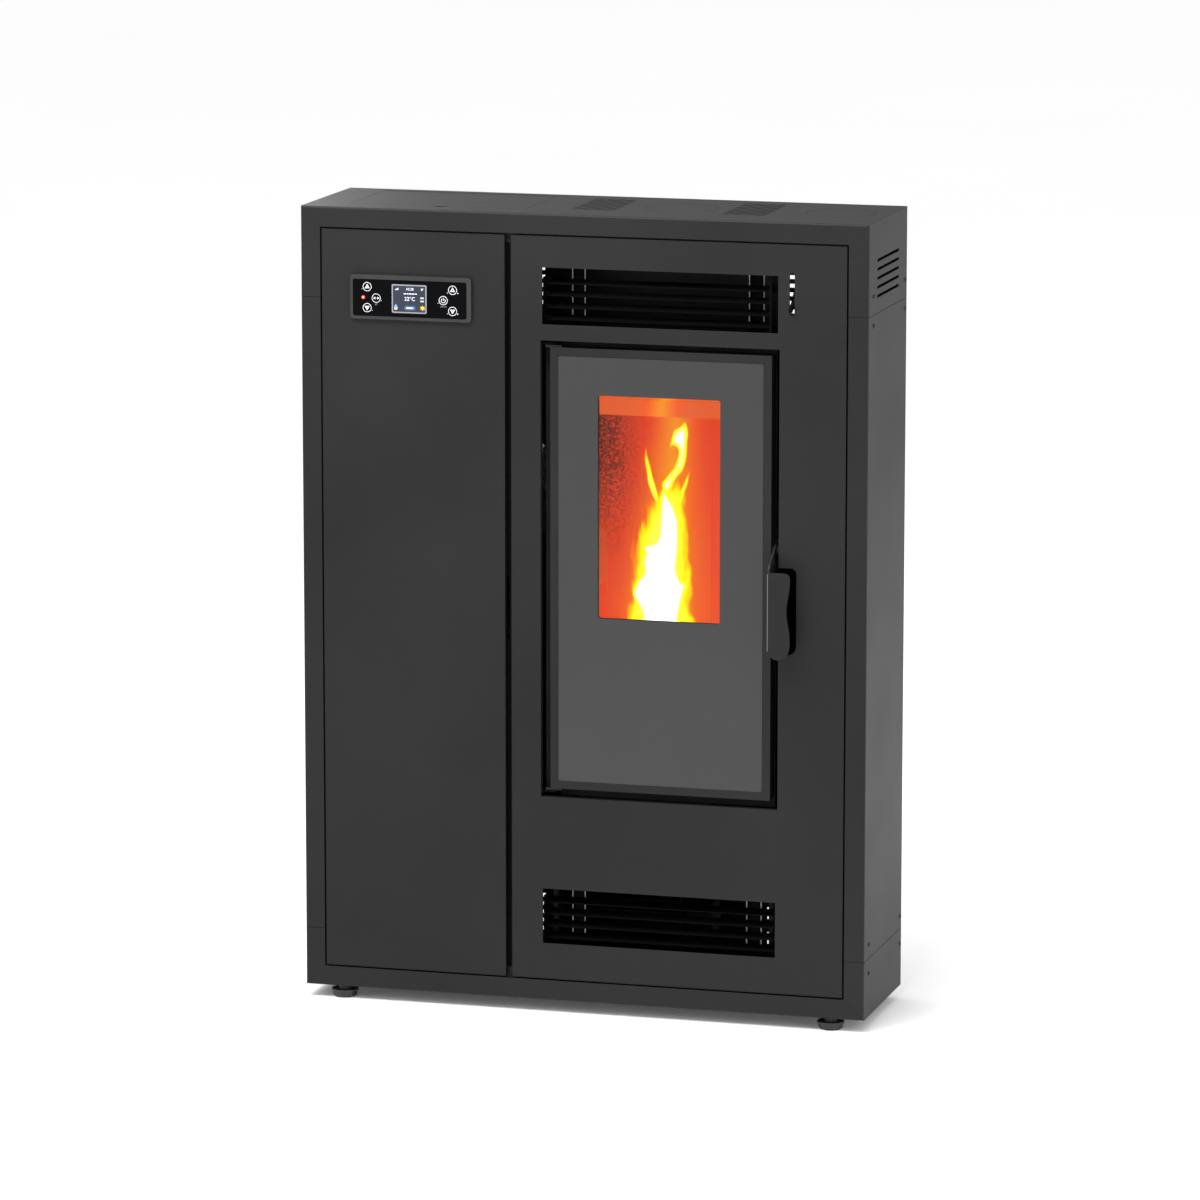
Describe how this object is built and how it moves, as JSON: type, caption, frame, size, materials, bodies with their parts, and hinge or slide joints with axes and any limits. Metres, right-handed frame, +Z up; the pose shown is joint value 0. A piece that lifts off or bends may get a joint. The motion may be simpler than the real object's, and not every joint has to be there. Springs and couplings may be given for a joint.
{
  "type": "pellet stove",
  "caption": "Slim free-standing pellet stove: sheet-steel casing, glazed fire door with handle, louvred air outlets, top hopper lid and touch control panel.",
  "frame": {"origin": "on the floor, under the middle of the stove's overall width and depth", "axes": "+Z up, -Y out of the front with the fire door, +X to the right seen from the front"},
  "size_m": [0.805, 0.28, 1.118],
  "materials": {
    "body_paint": "fine-textured matte anthracite powder coat",
    "dark_paint": "matte black powder coat",
    "zinc_sheet": "galvanised sheet",
    "steel": "bright steel",
    "fire_steel": "heat-resistant matte black paint on welded steel",
    "cast_iron": "raw cast surface, sooted",
    "black_plastic": "satin moulded",
    "foot_rubber": "matt",
    "rope": "braided glass-fibre rope",
    "door_glass": "ceramic glass with a printed charcoal border and a clear window",
    "clear_glass": "clear ceramic glass",
    "screen": "glossy black touch panel with a colour display"
  },
  "bodies": {
    "casing": {"hood": "body_paint", "left_side_panel": "body_paint", "right_side_panel": "body_paint", "base_tray": "body_paint", "rear_panel": "body_paint", "left_front_panel": "body_paint", "right_front_panel": "body_paint", "divider_channel": "dark_paint", "partition_wall": "zinc_sheet", "lid_hinge_rod": "steel", "hopper": "zinc_sheet", "hopper_grid": "steel", "auger_tube": "steel", "gear_motor": "zinc_sheet", "pellet_chute": "fire_steel", "firebox": "fire_steel", "firebox_liner": "cast_iron", "baffle_plate": "cast_iron", "pot_shelf": "fire_steel", "burn_pot": "cast_iron", "ash_pan": "fire_steel", "igniter": "steel", "door_hinge_top": "dark_paint", "door_hinge_bottom": "dark_paint", "latch_keeper": "steel", "upper_louvre_frame": "dark_paint", "lower_louvre": "dark_paint", "smoke_box": "fire_steel", "exhaust_fan_housing": "zinc_sheet", "exhaust_fan_motor": "zinc_sheet", "flue_spigot": "steel", "air_intake_pipe": "steel", "room_blower_housing": "zinc_sheet", "room_blower_motor": "zinc_sheet", "control_bezel": "black_plastic", "display_panel": "screen", "control_board": "black_plastic", "power_inlet": "black_plastic"},
    "foot_front_left": {"foot_front_left": "foot_rubber"},
    "foot_front_right": {"foot_front_right": "foot_rubber"},
    "foot_rear_left": {"foot_rear_left": "foot_rubber"},
    "foot_rear_right": {"foot_rear_right": "foot_rubber"},
    "lid": {"hopper_lid": "body_paint"},
    "screw": {"auger_screw": "steel"},
    "fire_door": {"door_frame": "body_paint", "door_glass": "door_glass", "window_glass": "clear_glass", "door_gasket": "rope", "glass_clamp_left": "steel", "glass_clamp_right": "steel"},
    "handle": {"door_handle": "body_paint"},
    "slat_1": {"louvre_slat_1": "dark_paint", "louvre_lever": "dark_paint"},
    "slat_2": {"louvre_slat_2": "dark_paint"},
    "slat_3": {"louvre_slat_3": "dark_paint"},
    "slat_4": {"louvre_slat_4": "dark_paint"},
    "louvre_link": {"louvre_link_bar": "dark_paint"},
    "exhaust_wheel": {"exhaust_impeller": "steel"},
    "blower_wheel": {"room_blower_rotor": "zinc_sheet"},
    "rocker": {"rocker_switch": "black_plastic"}
  },
  "joints": [
    {"name": "door_swing", "type": "hinge", "parent": "casing", "child": "fire_door", "pos_m": [-0.047, -0.1, 0.6], "axis": [0, 0, -1], "range_deg": [0, 95]},
    {"name": "handle_pull", "type": "hinge", "parent": "fire_door", "child": "handle", "pos_m": [0.2715, -0.096, 0.666], "axis": [-1, 0, 0], "range_deg": [0, 28]},
    {"name": "lid_swing", "type": "hinge", "parent": "casing", "child": "lid", "pos_m": [-0.219, 0.0867, 1.114], "axis": [-1, 0, 0], "range_deg": [0, 95]},
    {"name": "louvre_tilt", "type": "hinge", "parent": "casing", "child": "slat_1", "pos_m": [0.1, -0.088, 1.0231], "axis": [-1, 0, 0], "range_deg": [0, 50]},
    {"name": "louvre_tilt_2", "type": "hinge", "parent": "casing", "child": "slat_2", "pos_m": [0.1, -0.088, 1.00645], "axis": [-1, 0, 0], "range_deg": [0, 50]},
    {"name": "louvre_tilt_3", "type": "hinge", "parent": "casing", "child": "slat_3", "pos_m": [0.1, -0.088, 0.9898], "axis": [-1, 0, 0], "range_deg": [0, 50]},
    {"name": "louvre_tilt_4", "type": "hinge", "parent": "casing", "child": "slat_4", "pos_m": [0.1, -0.088, 0.97315], "axis": [-1, 0, 0], "range_deg": [0, 50]},
    {"name": "louvre_link_drop", "type": "slide", "parent": "casing", "child": "louvre_link", "axis": [0, 0, -1], "range_m": [0, 0.0137]},
    {"name": "screw_turn", "type": "hinge", "parent": "casing", "child": "screw", "pos_m": [-0.29, 0, 0.596], "axis": [0.7071, 0, 0.7071], "continuous": true},
    {"name": "exhaust_turn", "type": "hinge", "parent": "casing", "child": "exhaust_wheel", "pos_m": [0.212, 0.04, 0.218], "axis": [0, 1, 0], "continuous": true},
    {"name": "blower_turn", "type": "hinge", "parent": "casing", "child": "blower_wheel", "pos_m": [0.04, -0.018, 0.13], "axis": [1, 0, 0], "continuous": true},
    {"name": "switch_rock", "type": "hinge", "parent": "casing", "child": "rocker", "pos_m": [-0.315, 0.107, 0.1181], "axis": [1, 0, 0], "range_deg": [0, 16]},
    {"name": "foot_front_left_screw", "type": "slide", "parent": "casing", "child": "foot_front_left", "axis": [0, 0, -1], "range_m": [0, 0.015]},
    {"name": "foot_front_right_screw", "type": "slide", "parent": "casing", "child": "foot_front_right", "axis": [0, 0, -1], "range_m": [0, 0.015]},
    {"name": "foot_rear_left_screw", "type": "slide", "parent": "casing", "child": "foot_rear_left", "axis": [0, 0, -1], "range_m": [0, 0.015]},
    {"name": "foot_rear_right_screw", "type": "slide", "parent": "casing", "child": "foot_rear_right", "axis": [0, 0, -1], "range_m": [0, 0.015]}
  ],
  "couplings": [
    {"joint": "louvre_tilt_2", "follows": "louvre_tilt", "ratio": 1},
    {"joint": "louvre_tilt_3", "follows": "louvre_tilt", "ratio": 1},
    {"joint": "louvre_tilt_4", "follows": "louvre_tilt", "ratio": 1},
    {"joint": "louvre_link_drop", "follows": "louvre_tilt", "m_per_rad": 0.01544}
  ]
}
